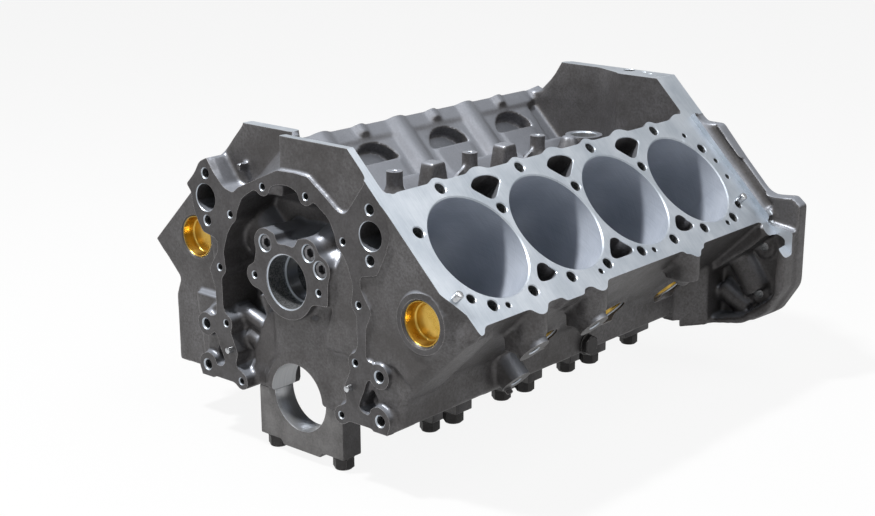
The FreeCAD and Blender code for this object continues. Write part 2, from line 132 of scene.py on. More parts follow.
class Finish(Nodes):
    """A material, and what its grain and gloss are made from."""

    def __init__(self, name):
        self.material = bpy.data.materials.new(name)
        self.material.use_nodes = True
        super().__init__(self.material.node_tree)

    def place(self):
        """Place on the object, in metres."""
        return self.node("ShaderNodeTexCoord", {}, output="Object")

    def noise(self, scale, detail=3.0, roughness=0.5, place=None):
        """Cloudy noise with this many clouds to a metre."""
        return self.node("ShaderNodeTexNoise", {}, Vector=place or self.place(), Scale=scale,
                         Detail=detail, Roughness=roughness)

    def stretched(self, scales):
        """Place on the object, drawn out by a scale for each axis."""
        return self.node("ShaderNodeVectorMath", {"operation": "MULTIPLY"}, self.place(), scales,
                         output="Vector")

    def bump(self, height, distance, strength):
        """Normal of a surface that rises and falls by this distance."""
        return self.node("ShaderNodeBump", {}, Strength=strength, Distance=distance, Height=height)

    def surface(self, **values):
        """Set or link the sockets of the surface shader."""
        shader = self.tree.nodes["Principled BSDF"]
        for key, value in values.items():
            self.feed(shader.inputs[key.replace("_", " ")], value)


# Studio floor and backdrop.
# One pale sheet carries the block's weight and its soft shadow, and the room around it is white.
# Camera, glossy and transmission rays see plain white past the sheet.
floor_finish = Finish("studio_floor")
seen = floor_finish.node("ShaderNodeLightPath", {}, output="Is Camera Ray")
mirrored = floor_finish.node("ShaderNodeLightPath", {}, output="Is Glossy Ray")
white = floor_finish.node("ShaderNodeEmission", {}, Color=(1.0, 1.0, 1.0), Strength=1.0)
matt = floor_finish.node("ShaderNodeBsdfDiffuse", {}, Color=(0.55, 0.55, 0.55))
floor_mixed = floor_finish.node("ShaderNodeMixShader", {}, seen * 0.90 + mirrored * 0.45, matt,
                                white)
floor_finish.feed(floor_finish.tree.nodes["Material Output"].inputs["Surface"], floor_mixed)
FLOOR_HALF = 4.0
FLOOR_CORNERS = ((-1, -1), (1, -1), (1, 1), (-1, 1))
floor_mesh = bpy.data.meshes.new("studio_floor")
floor_mesh.from_pydata([(x * FLOOR_HALF, y * FLOOR_HALF, cad_box[0][2]) for x, y in FLOOR_CORNERS],
                       [], [(0, 1, 2, 3)])
floor_mesh.materials.append(floor_finish.material)
floor = bpy.data.objects.new("studio_floor", floor_mesh)
bpy.context.scene.collection.objects.link(floor)

world = bpy.data.worlds.new("studio_room")
world.use_nodes = True
bpy.context.scene.world = world
room = Nodes(world.node_tree)
background = room.tree.nodes["Background"].inputs
strength = 0.16
for kind, share in (("Is Glossy Ray", 0.50), ("Is Transmission Ray", 1.0), ("Is Camera Ray", 1.0)):
    strength = room.node("ShaderNodeMix", {}, A=strength, B=share,
                         Factor=room.node("ShaderNodeLightPath", {}, output=kind))
room.feed(background["Strength"], strength)
room.feed(background["Color"], (1.0, 1.0, 1.0))

LAMPS = (
    ("key_lamp", (-0.52, -0.64, 2.05), (0.16, 0.24, 0.1), 0.22, 72.0),
    ("top_softbox", (1.1, 0.5, 1.6), (0.0, 0.25, 0.1), 1.5, 20.0),
    ("front_softbox", (0.2, -2.1, 0.9), (0.0, 0.1, 0.1), 0.7, 2.5),
)
for name, place, target, across, power in LAMPS:
    lamp = bpy.data.lights.new(name, "AREA")
    lamp.shape, lamp.size, lamp.energy = "SQUARE", across, power
    holder = bpy.data.objects.new(name, lamp)
    holder.location = place
    holder.rotation_euler = (Vector(place) - Vector(target)).to_track_quat("Z", "Y").to_euler()
    bpy.context.scene.collection.objects.link(holder)

# Rough casting.
# Grey iron poured in a sand mould: both banks, the crankcase and the timing chest are one piece.
# It leaves the mould with stock on every face that is milled later. Sizes are in millimetres.
HALF = math.sqrt(0.5)
FRONT_Y, REAR_Y = -12.4, 499.9
DECK, CAM_Z, PITCH = 229.2, 114.8, 111.76
FIRST_BORE, BANK_SHIFT = 65.4, 22.35
PAN_Z, WALL_TOP, PAD_LEVEL = -2.0, 248.0, 97.0
STOCK = 6.0
AFT, UP = Vector((0, 1, 0)), Vector((0, 0, 1))


class Bank:
    """Places on one bank, in millimetres along its deck, up its slope and out of the deck."""

    def __init__(self, side, first):
        self.side = side
        self.along = Vector((0, side, 0))
        self.slope = Vector((-side * HALF, 0, HALF))
        self.out = Vector((side * HALF, 0, HALF))
        self.origin = self.out * DECK + Vector((0, first, 0))

    def point(self, v, w, out=0.0):
        return self.origin + self.along * v + self.slope * w + self.out * out


LEFT = Bank(1, FIRST_BORE)
RIGHT = Bank(-1, FIRST_BORE + BANK_SHIFT + 3 * PITCH)
BANKS = (LEFT, RIGHT)


def at(x, y, z):
    """A place given across, behind the timing face and up."""
    return Vector((x, y + FRONT_Y, z))


def arc(across, up, end, step):
    """Offsets round an ellipse, from nought to an end in degrees."""
    return [(across * math.cos(math.radians(a)), up * math.sin(math.radians(a)))
            for a in range(0, end, step)]


def rod(shape, radius, start, axis, length, top=None, sides=48):
    """Add a closed round bar or cone."""
    turn = axis.to_track_quat("Z", "Y").to_matrix().to_4x4()
    middle = (start + axis.normalized() * (length / 2)) * MM
    bmesh.ops.create_cone(shape, cap_ends=True, segments=sides, radius1=radius * MM,
                          radius2=(radius if top is None else top) * MM, depth=length * MM,
                          matrix=Matrix.Translation(middle) @ turn)


def bar(shape, start, end, radius, top=None):
    """Add a round bar from one place to another."""
    rod(shape, radius, start, end - start, (end - start).length, top, sides=24)


def slab(shape, outline, lift):
    """Add a closed prism: the places of its outline, and the way it is drawn out."""
    low = [shape.verts.new(point * MM) for point in outline]
    high = [shape.verts.new((point + lift) * MM) for point in outline]
    faces = [shape.faces.new(low), shape.faces.new(high)]
    for i in range(len(low)):
        j = (i + 1) % len(low)
        faces.append(shape.faces.new((low[i], low[j], high[j], high[i])))
    bmesh.ops.recalc_face_normals(shape, faces=faces)
    return faces


def hull(shape, points):
    """Add the smallest closed form round these places."""
    corners = [shape.verts.new(point * MM) for point in points]
    made = bmesh.ops.convex_hull(shape, input=corners)["geom"]
    faces = [item for item in made if isinstance(item, bmesh.types.BMFace)]
    bmesh.ops.recalc_face_normals(shape, faces=faces)


def extend(shape, normal, level):
    """Draw the flat faces at this level outward, as stock for milling."""
    faces = [face for face in shape.faces
             if face.normal.dot(normal) > 0.999
             and abs(face.calc_center_median().dot(normal) - level * MM) < 0.02 * MM]
    drawn = bmesh.ops.extrude_face_region(shape, geom=faces)
    moved = [item for item in drawn["geom"] if isinstance(item, bmesh.types.BMVert)]
    bmesh.ops.translate(shape, verts=moved, vec=normal * STOCK * MM)
    bmesh.ops.delete(shape, geom=[face for face in faces if face.is_valid], context="FACES")


casting = bmesh.new()
casting.from_mesh(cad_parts["block"].data)
bmesh.ops.remove_doubles(casting, verts=casting.verts, dist=2e-6)
casting.normal_update()
extend(casting, -AFT, -FRONT_Y)
extend(casting, AFT, REAR_Y)
extend(casting, UP, WALL_TOP)
extend(casting, -UP, -PAN_Z)
for bank in BANKS:
    extend(casting, bank.out, DECK)
    extend(casting, -bank.slope, PAD_LEVEL)

# Cast forms of the banks.
# Each cylinder's water jacket swells the wall, and the head bolts have bosses along both edges.
# Columns carry the bolts' load down to the engine mounts.
CENTRES = [i * PITCH for i in range(4)]
JACKET_RADIUS, JACKET_DEPTH = 54.5, 131
BOSS_RADIUS, BOSS_DEPTH = 12.0, 12
COLUMN_RADIUS, COLUMN_DEPTH = 24.5, 112
DECK_LIPS = ((-77, -56), (56, 88), (252, 288), (398, 411))
for bank in BANKS:
    for v in CENTRES:
        rod(casting, JACKET_RADIUS, bank.point(v, 0, -JACKET_DEPTH), bank.out, JACKET_DEPTH + STOCK)
        rod(casting, BOSS_RADIUS, bank.point(v, 62.5, -BOSS_DEPTH), bank.out, BOSS_DEPTH + STOCK)
    slab(casting, [bank.point(v, w, out) for v, w, out in (
        (-52, 50, STOCK), (-52, 70.2, STOCK), (-52, 70.2, -17), (-52, 60, -25), (-52, 50, -25))],
        bank.along * 463)
    for v in CENTRES:
        slab(casting, [bank.point(v + a, 44, out) for a, out in (
            (-42, -14), (-26, -5), (0, -1.5), (26, -5), (42, -14), (44, -30), (40, -104),
            (-40, -104), (-44, -30))], bank.slope * 24.5)
    for v in [centre + PITCH / 2 for centre in CENTRES[:3]] + [388.0]:
        rod(casting, COLUMN_RADIUS, bank.point(v, 50.5, -COLUMN_DEPTH), bank.out,
            COLUMN_DEPTH + STOCK)
    for low, high in DECK_LIPS:
        slab(casting, [bank.point(low, -60, STOCK), bank.point(low + 3, -74.5, STOCK),
                       bank.point(high - 3, -74.5, STOCK), bank.point(high, -60, STOCK)],
             bank.out * -22)
OUTER_COLUMNS = ((203, 100.0, 78, 14.5), (203, 190.0, 78, 14.5), (207, 347.0, 84, 11.5))
for x, y, foot, radius in OUTER_COLUMNS:
    rod(casting, radius, at(x, y, foot), UP, 130 - foot)
    rod(casting, radius * 0.5, at(x - 6, y, foot - 12), UP, 13, top=radius)
for v in CENTRES[1:]:
    for bank in BANKS:
        rod(casting, 27.0, bank.point(v, -60, -100), -bank.slope, 13.0, top=25.0)
for side in (-1, 1):
    slab(casting, [at(side * x, 20, z) for x, z in (
        (110, -1), (127, -1), (127, 24), (120, 24), (110, 14))], AFT * 440)

# Cast forms of the valley.
# Three posts and three vents stand on the floor between the lifter galleries, with thin webs.
# The distributor's boss stands at the rear.
FLOOR_Z = 150
POSTS, POST_TOP = (144.9, 256.7, 368.4), 193
VENTS = ((200.8, 37, True), (312.5, 37, True), (424.0, 34, False))
DISTRIBUTOR_Y, DISTRIBUTOR_FOOT, DISTRIBUTOR_TOP = 452, 145, 181
for y in POSTS:
    rod(casting, 8.0, at(0, y, FLOOR_Z), UP, POST_TOP - FLOOR_Z + STOCK)
    rod(casting, 20.0, at(0, y, FLOOR_Z), UP, 28, top=8.5)
    slab(casting, [at(x, y + aft, FLOOR_Z) for x, aft in (
        (-30, 12), (-30, 15), (45, -18), (45, -21))], UP * 17)
for y, height, ridged in VENTS:
    rod(casting, 21.0, at(0, y, FLOOR_Z), UP, height, top=7.0)
    for x in (-4.0, 4.0) if ridged else ():
        bar(casting, at(x, y + 3, 178), at(x, y - 2, POST_TOP), 2.8)
rod(casting, 20.5, at(0, DISTRIBUTOR_Y, DISTRIBUTOR_FOOT), UP,
    DISTRIBUTOR_TOP - DISTRIBUTOR_FOOT + STOCK)
rod(casting, 27.0, at(0, DISTRIBUTOR_Y, DISTRIBUTOR_FOOT), UP, 22, top=20.0)
slab(casting, [at(30, 478, 160), at(-26, 503, 160), at(30, 506, 160)], UP * (88 + STOCK))
slab(casting, [at(x, 497.6, z) for x, z in ((-97, 203), (40, 203), (40, 254), (-64, 254))],
     AFT * 10)

# Cast forms of the timing face.
# The cover's bolts have bosses on the rail, and the pump's bolts stand on a pad at each side.
# The cam boss has ears for its thrust plate and gallery plugs.
COVER_BOLTS = [(side * x, z) for side in (-1, 1)
               for x, z in ((27.7, 199), (72.6, 166), (90.2, 112), (84.8, 57.5), (66.3, 3.4))]
PUMP_BOLTS = [(side * x, z) for side in (-1, 1) for x, z in ((105.1, 200), (104.9, 154.8))]
ACCESSORY_BOLTS = [(side * x, z) for side in (-1, 1) for x, z in ((113.5, 51), (114, 9.5))]
PUMP_PORTS = [(side * 105.8, 176.7) for side in (-1, 1)]
THRUST_EARS = ((-42, 114, 10.5), (41, 113, 11))
GALLERY_EARS = ((-26.5, 147, 14), (29.5, 147.4, 12.5), (43.6, 134.5, 12.5))
FRONT_PLUGS = ((162.5, 1.0, 110), (-149, 22.35, 126.5))
for x, z in COVER_BOLTS:
    rod(casting, 8.6, at(x, -STOCK, z), AFT, 22 + STOCK)
for x, z in PUMP_BOLTS:
    rod(casting, 12.0, at(x, -STOCK, z), AFT, 16 + STOCK)
for x, z in PUMP_PORTS:
    slab(casting, [at(x + across, -STOCK, z + up) for across, up in arc(20, 20, 360, 15)],
         AFT * (16 + STOCK))
for x, z, radius in (THRUST_EARS[0], *GALLERY_EARS, THRUST_EARS[1]):
    rod(casting, radius, at(x, -STOCK, z), AFT, 50 + STOCK)
for x, z, radius in GALLERY_EARS[1:]:
    bar(casting, at(x, 10, z), at(x * 1.5, 50, CAM_Z + (z - CAM_Z) * 1.5), radius, radius * 1.7)
rod(casting, 35.0, at(0, -STOCK, CAM_Z), AFT, 56 + STOCK, top=37.0)
rod(casting, 38.0, at(0, 22, CAM_Z), AFT, 32, top=50.0)
slab(casting, [at(across, 8.5, up) for across, up in arc(43.5, 43.5, 181, 9)], AFT * 30)
slab(casting, [at(-30, 12.4, 30), at(-26, 5, 84), at(-26, 50, 84), at(-30, 50, 30)],
     Vector((58, 0, 0)))
slab(casting, [at(26, y, z) for y, z in ((12.4, 20), (8, 84), (11, 104), (50, 104), (50, 20))],
     Vector((34, 0, 0)))
slab(casting, [at(x, y, PAN_Z) for x, y in ((38, 12.4), (62, 9), (98, 5.5), (98, 45), (38, 45))],
     UP * 80)
slab(casting, [at(x, y, PAN_Z) for x, y in ((-98, 15), (-60, 21), (-36, 17), (-36, 50), (-98, 50))],
     UP * 62)
BULKHEAD_RIBS = (((-44, 30), (-74, 44)), ((-52, 56), (-84, 66)), ((-50, 12), (-84, 14)),
                 ((-36, 62), (-50, 90)))
for (x, z), (x2, z2) in BULKHEAD_RIBS:
    bar(casting, at(x, 22, z), at(x2, 23, z2), 7.5, 9.0)
slab(casting, [at(x, -STOCK, z) for x, z in (
    (-92, 200), (-104.6, 213.6), (-132.4, 185.8), (-121, 174.7), (-124, 165), (-117, 150),
    (-100, 146))], AFT * 30)
slab(casting, [at(x, 7.5, z) for x, z in (
    (118, 26), (139.5, 32), (206, 98.5), (200, 114), (160, 106), (118, 70))], AFT * 40)
slab(casting, [at(-6, 3, 192), at(-6, 30, 192), at(-66, 30, 192), at(-66, 3, 192)], UP * 54)
slab(casting, [at(-74, y, z) for y, z in (
    (10, 213), (22, 212), (62, 187), (62, 177), (44, 178), (22, 203), (10, 205))],
    Vector((148, 0, 0)))
slab(casting, [at(x, 15, z) for x, z in ((-90, 1), (-137, 4), (-140, 34), (-146, 74), (-92, 74))],
     AFT * 45)
for x, y, z in FRONT_PLUGS:
    rod(casting, 26.0, at(x, y, z), AFT, 9, top=32.0)
    rod(casting, 32.0, at(x, y + 9, z), AFT, 30)
BEAD = ((112, 135), (120, 129), (123, 118), (121, 106), (117, 98))
for (x, z), (x2, z2) in zip(BEAD, BEAD[1:]):
    bar(casting, at(x, 5.5, z), at(x2, 5.5, z2), 2.2)

# Cast forms of the bell flange.
# Each pocket holds the bosses of two bolts of the bell.
# The rounded back of the rear main wall stands between them.
POCKET_BOLTS = ((209, 81), (206, 29))
for side in (-1, 1):
    for x, z in POCKET_BOLTS:
        rod(casting, BOSS_RADIUS, at(side * x, 494, z), AFT, 10)
    bar(casting, at(side * 166, 492, 88), at(side * 203, 501, 32), 15.0, 17.0)
    bar(casting, at(side * 160, 497, 28), at(side * 192, 500, 8), 13.0, 11.0)
    bar(casting, at(side * 180, 496, 96), at(side * 196, 498, 84), 7.0)
    slab(casting, [at(side * x, y, -10) for x, y in (
        (132, 434), (141, 440), (160, 466), (158, 487), (152, 487), (140, 470))], UP * 66)


def finished(name, shape):
    """Turn a bmesh into an object."""
    mesh = bpy.data.meshes.new(name)
    shape.to_mesh(mesh)
    shape.free()
    piece = bpy.data.objects.new(name, mesh)
    bpy.context.scene.collection.objects.link(piece)
    return piece


def applied(piece, kind, **settings):
    """Add one modifier, keep its result as the mesh, and drop it."""
    modifier = piece.modifiers.new(kind.lower(), kind)
    for key, value in settings.items():
        setattr(modifier, key, value)
    view = bpy.context.evaluated_depsgraph_get()
    made = bpy.data.meshes.new_from_object(piece.evaluated_get(view))
    piece.modifiers.clear()
    old, piece.data = piece.data, made
    bpy.data.meshes.remove(old)


block = finished("block_casting", casting)
ROUGH_VOXEL, SKIN_VOXEL, SKIN_FACES = 2.0, 1.9, 75000
applied(block, "REMESH", mode="VOXEL", voxel_size=ROUGH_VOXEL * MM, adaptivity=0.0)


def carved(tool):
    """Take a tool's shape out of the block."""
    cutter = finished("cutter", tool)
    for material in block.data.materials:
        cutter.data.materials.append(material)
    applied(block, "BOOLEAN", operation="DIFFERENCE", object=cutter, solver="MANIFOLD",
            material_mode="INDEX")
    bpy.data.objects.remove(cutter)


# Cored hollows.
# The mould sets the front wall a little behind the timing rail, and leaves hollows by its bosses.
# The wall over the pan rail leans in, and the band behind the deck rises to the bell flange.
hollows = bmesh.new()
AHEAD = -20
slab(hollows, [at(x, AHEAD, z) for x, z in (
    (-9, 217), (14, 218), (31, 217), (39, 211), (53, 202), (65, 193), (73, 190), (79, 194),
    (100, 222), (90, 262), (-9, 262))], AFT * 24)
slab(hollows, [at(x, AHEAD, z) for x, z in (
    (-104, 217), (-94, 203), (-82, 192), (-72, 189), (-60, 197), (-49, 205), (-40, 212),
    (-31, 217), (-9, 217), (-9, 262), (-104, 262))], AFT * 24)
for bank in BANKS:
    for v in CENTRES:
        slab(hollows, [bank.point(v + across, 53, -46 + up) for across, up in arc(29, 24, 181, 9)],
             bank.slope * 30)
for side in (-1, 1):
    slab(hollows, [at(side * x, AHEAD, z) for x, z in (
        (95, 33), (91, 25), (88, 18), (92, 13), (101, 11), (103, 19), (112, 23), (122, 20),
        (150, 20), (150, 46), (128, 62), (108, 66), (102, 60), (103, 50), (97, 40))], AFT * 26.5)
    slab(hollows, [at(side * x, 6, z) for x, z in (
        (140, 9), (145, 9), (145, -12), (121, -12), (121, -2))], AFT * 428)
slab(hollows, [LEFT.point(v, -62, out) for v, out in (
    (412, 12), (412, -1.5), (418, -1.5), (424, 3.0), (427, 12))], LEFT.slope * 130)
hull(hollows, [LEFT.point(*place) for place in (
    (-95, -24, 14), (-77.5, -29.5, 14), (-67.4, -46.9, 14), (-63.3, -55.6, 14), (-62.7, -95, 14),
    (-95, -95, 14), (-77.5, -29.5, -3), (-67.4, -46.9, -4), (-63.3, -55.6, -5), (-62.7, -77, -6),
    (-62.7, -95, -6), (-95, -24, -8), (-95, -60, -40), (-95, -95, -62))])
carved(hollows)
deeper = bmesh.new()
hull(deeper, [at(*place) for place in (
    (-8.5, AHEAD, 217), (-8.5, 4.5, 217), (-33, 13, 217), (-33, AHEAD, 217), (-52, 22.35, 206),
    (-68, 22.35, 190), (-68, AHEAD, 190), (-8.5, 22.35, 246), (-8.5, 22.35, 262),
    (-8.5, AHEAD, 262), (-68, 22.35, 262), (-68, AHEAD, 262))])
for side in (-1, 1):
    slab(deeper, [at(side * x, AHEAD, z) for x, z in (
        (89.5, 18), (93, 14), (100, 13), (103, 20), (105, 27), (99, 34), (93.5, 26))], AFT * 38)
carved(deeper)
mounts = bmesh.new()
MOUNT_PADS = []
for side, bank in zip((1, -1), BANKS):
    for y, drop in ((87.5, 33.3), (177.5, 33.3), (132.5, 111.8)):
        MOUNT_PADS.append((bank, (y - bank.origin.y) * side, drop))
    slab(mounts, [bank.point((y - bank.origin.y) * side, -90.5, out)
                  for y, out in ((60, -8), (215, -8), (215, -128), (60, -128))], bank.slope * -40)
carved(mounts)
bosses = bmesh.new()
bosses.from_mesh(block.data)
for bank, v, drop in MOUNT_PADS:
    rod(bosses, 15.2, bank.point(v, -60, -drop), -bank.slope, PAD_LEVEL - 60 + STOCK)
x, _, z = FRONT_PLUGS[0]
rod(bosses, 26.5, at(x, -2.0, z), AFT, 12, top=30.5)
for x, z in ACCESSORY_BOLTS:
    rod(bosses, 11.0, at(x, -STOCK, z), AFT, 26 + STOCK, top=14.0)
bosses.to_mesh(block.data)
bosses.free()
applied(block, "REMESH", mode="VOXEL", voxel_size=SKIN_VOXEL * MM, adaptivity=0.0)
applied(block, "SMOOTH", factor=0.5, iterations=4)
applied(block, "DECIMATE", ratio=SKIN_FACES / len(block.data.polygons))

# Milling and boring.
# The decks, the timing face, the rear, the pan rail and the mounts are milled flat.
# The cylinders are honed, and the crank, cam and lifter bores are bored through.
BORE_RADIUS, BORE_DEPTH = 52.39, 150
CRANK_RADIUS, CAM_RADIUS, CAM_SHELL_RADIUS = 33.54, 25.2, 22.8
LIFTER_RADIUS, LIFTER_SHIFT = 10.7, 17
PLUG_RADIUS, PLUG_SLOPE, PLUG_DROP = 20.6, -71, -100
CAST, MILLED, FACED, HONED, BORED, TAPPED = range(6)
FINISHES = [Finish(name) for name in (
    "sand_casting", "milled_iron", "faced_iron", "honed_iron", "bored_iron", "tapped_holes")]
block.data.materials.clear()
for finish in FINISHES:
    block.data.materials.append(finish.material)


def mill(origin, normal, finish, across=(900.0, 900.0), along=AFT, thick=60.0):
    """Mill off all that stands past a plane, within a rectangle round its origin."""
    tool = bmesh.new()
    cross = normal.cross(along)
    outline = [origin + along * (a * across[0] / 2) + cross * (b * across[1] / 2)
               for a, b in ((-1, -1), (1, -1), (1, 1), (-1, 1))]
    for face in slab(tool, outline, normal * thick):
        face.material_index = finish
    carved(tool)


def drill(tool, mouth, inward, profile, sides=32):
    """Add a round hole to a tool. Its profile lists radius, depth and finish from the mouth in."""
    turn = inward.to_track_quat("Z", "Y")
    rings = []
    for radius, depth, _ in profile:
        ring = [] if radius else [tool.verts.new((mouth + inward * depth) * MM)]
        for k in range(sides if radius else 0):
            angle = 2 * math.pi * k / sides
            reach = radius(angle) if callable(radius) else radius
            spoke = turn @ Vector((reach * math.cos(angle), reach * math.sin(angle), depth))
            ring.append(tool.verts.new((mouth + spoke) * MM))
        rings.append(ring)
    for before, after, (_, _, finish) in zip(rings, rings[1:], profile[1:]):
        for k in range(sides):
            j = (k + 1) % sides
            loop = [before[k % len(before)], before[j % len(before)],
                    after[j % len(after)], after[k % len(after)]]
            face = tool.faces.new(list(dict.fromkeys(loop)))
            face.material_index = finish
    for ring in (rings[0], rings[-1]):
        if len(ring) > 1:
            tool.faces.new(ring)
    bmesh.ops.recalc_face_normals(tool, faces=tool.faces)


def tapped(tool, mouth, inward, radius, depth, sink=0.9, lead=8.0, sides=28):
    """Add a threaded hole with a countersunk mouth."""
    drill(tool, mouth, inward, [
        (radius + sink, -lead, TAPPED), (radius + sink, 0.0, MILLED), (radius, sink, MILLED),
        (radius, depth, TAPPED), (0.0, depth + radius * 0.6, TAPPED)], sides)


# The cut over the left deck stops short of the bell flange. A second takes the upper corner.
mill(LEFT.point(161.5, 0), LEFT.out, MILLED, across=(500.0, 300.0), along=LEFT.along)
mill(LEFT.point(380, 118), LEFT.out, MILLED, across=(160.0, 100.0), along=LEFT.along)
mill(RIGHT.point(180, 0), RIGHT.out, MILLED, across=(540.0, 300.0), along=RIGHT.along)
mill(Vector((0, FRONT_Y, 100)), -AFT, FACED, along=UP)
mill(Vector((0, REAR_Y, 100)), AFT, MILLED, along=UP)
mill(Vector((0, 250, WALL_TOP)), UP, MILLED)
mill(Vector((0, 230, PAN_Z)), -UP, MILLED, across=(440.0, 282.0), thick=10.0)
for x in (-108, 108):
    mill(Vector((x, -5, PAN_Z)), -UP, MILLED, across=(32.0, 66.0), thick=10.0)
for bank in BANKS:
    mill(bank.point((132.5 - bank.origin.y) * bank.side, -PAD_LEVEL, -70), -bank.slope, FACED,
         across=(240.0, 112.0), along=bank.along, thick=30.0)
posts = bmesh.new()
for y, level in [(y, POST_TOP) for y in POSTS] + [(DISTRIBUTOR_Y, DISTRIBUTOR_TOP)]:
    drill(posts, at(0, y, level), UP, [(26, 0, MILLED), (26, 0.01, MILLED), (26, 30, MILLED)])
carved(posts)
bores = bmesh.new()
for bank in BANKS:
    for v in CENTRES:
        drill(bores, bank.point(v, 0), -bank.out, [
            (53.6, -9, HONED), (53.6, 0, MILLED), (BORE_RADIUS, 1.2, MILLED),
            (BORE_RADIUS, BORE_DEPTH, HONED)], 128)
carved(bores)
tunnels = bmesh.new()
drill(tunnels, Vector((0, FRONT_Y - 10, 0)), AFT, [
    (CRANK_RADIUS, 0, BORED), (CRANK_RADIUS, 540, BORED)], 96)
drill(tunnels, Vector((0, FRONT_Y - 10, CAM_Z)), AFT, [
    (26.3, 0, MILLED), (26.3, 10.6, MILLED), (CAM_RADIUS, 11.2, MILLED), (CAM_RADIUS, 32, TAPPED),
    (23.2, 32.5, MILLED), (CAM_SHELL_RADIUS, 46, BORED), (CAM_SHELL_RADIUS, 540, TAPPED)], 80)
carved(tunnels)
lifters = bmesh.new()
for bank in BANKS:
    for v in CENTRES:
        for shift in (-LIFTER_SHIFT, LIFTER_SHIFT):
            drill(lifters, Vector((0, bank.point(v + shift, 0).y, CAM_Z)), bank.out, [
                (LIFTER_RADIUS, 26, HONED), (LIFTER_RADIUS, 98, HONED)], 36)
carved(lifters)


def softened(corners, reach):
    """Round each corner of an outline with a short curve."""
    places = []
    for i, corner in enumerate(corners):
        here = Vector(corner)
        beside = (corners[i - 1], corners[(i + 1) % len(corners)])
        sides = [Vector(other) - here for other in beside]
        start, end = (here + side.normalized() * min(reach, side.length * 0.45) for side in sides)
        for t in (0.0, 0.25, 0.5, 0.75, 1.0):
            places.append(start * (1 - t) ** 2 + here * 2 * t * (1 - t) + end * t ** 2)
    return places


def port(tool, bank, corners, depth):
    """Add a cored coolant port to a tool, with a slightly broken edge at the deck."""
    outline = softened(corners, 5.0)
    middle = sum(outline, Vector((0, 0))) / len(outline)
    rings = []
    for grow, out in ((1.05, 8.0), (1.05, 0.0), (1.0, -0.8), (0.94, -depth)):
        rings.append([tool.verts.new(bank.point(*(middle + (place - middle) * grow), out) * MM)
                      for place in outline])
    for step, (before, after) in enumerate(zip(rings, rings[1:])):
        for k in range(len(before)):
            j = (k + 1) % len(before)
            face = tool.faces.new((before[k], before[j], after[j], after[k]))
            face.material_index = MILLED if step == 1 else CAST
    tool.faces.new(rings[0])
    tool.faces.new(rings[-1])
    bmesh.ops.recalc_face_normals(tool, faces=tool.faces)


PORT_DEPTH = 34
UPPER_PORT = ((-21, 56), (-11, 63.5), (0, 65), (14, 63), (22, 56), (2, 40), (-6, 40))
LOWER_PORTS = (
    ((43, -45), (50, -35), (56, -33), (62, -36), (70, -45), (66, -49), (56, -51), (44, -50)),
    ((150, -50), (160, -37), (168, -33), (175, -37), (186, -49), (182, -54), (155, -54)),
    ((266, -45), (273, -36), (280, -33), (287, -38), (294, -46), (292, -51), (280, -52),
     (270, -50)))
ports = bmesh.new()
for bank in BANKS:
    for i in range(3):
        port(ports, bank, [(v + (i + 0.5) * PITCH, w) for v, w in UPPER_PORT], PORT_DEPTH)
        port(ports, bank, LOWER_PORTS[i], PORT_DEPTH)
carved(ports)
seats = bmesh.new()
for place in FRONT_PLUGS:
    drill(seats, at(*place), AFT, [
        (22.0, -9, FACED), (22.0, 0, FACED), (20.9, 0.8, FACED), (PLUG_RADIUS, 1.2, FACED),
        (PLUG_RADIUS, 15, BORED), (0, 15.5, BORED)], 64)
for bank in BANKS:
    for v in CENTRES[1:]:
        drill(seats, bank.point(v, PLUG_SLOPE, PLUG_DROP), bank.slope, [
            (21.4, -6, CAST), (21.4, 0, CAST), (PLUG_RADIUS, 1.0, MILLED), (PLUG_RADIUS, 17, BORED),
            (0, 17.5, BORED)], 64)
carved(seats)

# Drilled and tapped holes.
# Each deck has seventeen head bolt holes with smaller holes beside them.
# The faces take the bolts of the cover, the pump, the accessories, the mounts and the bell.
HEAD_BOLT_RADIUS = 5.6
SMALL_DECK_HOLES = ((-11.3, -59.5), (124.2, -60), (213.5, -58.4), (348.2, -58.5), (378, 48.3),
                    (400, 10.6), (400, -10.5))
BELL_BOLTS = ((118, 189), *POCKET_BOLTS)
REAR_WALL_HOLES = ((22, 505, 6.4), (42, 504, 2.3), (54, 498, 2.3))
holes = bmesh.new()
for bank in BANKS:
    for v in CENTRES:
        tapped(holes, bank.point(v, 63.1), -bank.out, HEAD_BOLT_RADIUS, 11)
        for shift in (-28, 28):
            tapped(holes, bank.point(v + shift, -55), -bank.out, HEAD_BOLT_RADIUS, 26)
    for i in range(5):
        tapped(holes, bank.point((i - 0.5) * PITCH, 28.7), -bank.out, HEAD_BOLT_RADIUS, 26)
    for v, w in SMALL_DECK_HOLES:
        tapped(holes, bank.point(v, w), -bank.out, 3.0, 14, sink=0.5)
    for v, w in ((-47, -43), (385, -44)):
        tapped(holes, bank.point(v, w), -bank.out, 4.6, 20, sink=0.6)
for x, z in COVER_BOLTS:
    tapped(holes, at(x, 0, z), AFT, 3.1, 16, sink=0.8)
for x, z in PUMP_BOLTS:
    tapped(holes, at(x, 0, z), AFT, 4.6, 14)
for x, z in ACCESSORY_BOLTS:
    tapped(holes, at(x, 0, z), AFT, 4.8, 20, sink=1.2)
for bank, v, drop in MOUNT_PADS:
    tapped(holes, bank.point(v, -PAD_LEVEL, -drop), bank.slope, 4.8, 22, sink=1.0)
for side in (-1, 1):
    for x, z in BELL_BOLTS:
        tapped(holes, Vector((side * x, REAR_Y, z)), -AFT, 4.9, 26, sink=1.0)
for x, z, _ in THRUST_EARS:
    tapped(holes, at(x, 0, z), AFT, 3.0, 14)
for x, z, _ in GALLERY_EARS:
    drill(holes, at(x, 0, z), AFT, [(8.6, -8, MILLED), (8.6, 0, MILLED), (7.6, 1.0, MILLED),
                                    (7.5, 12.5, TAPPED), (0, 13, TAPPED)], 40)
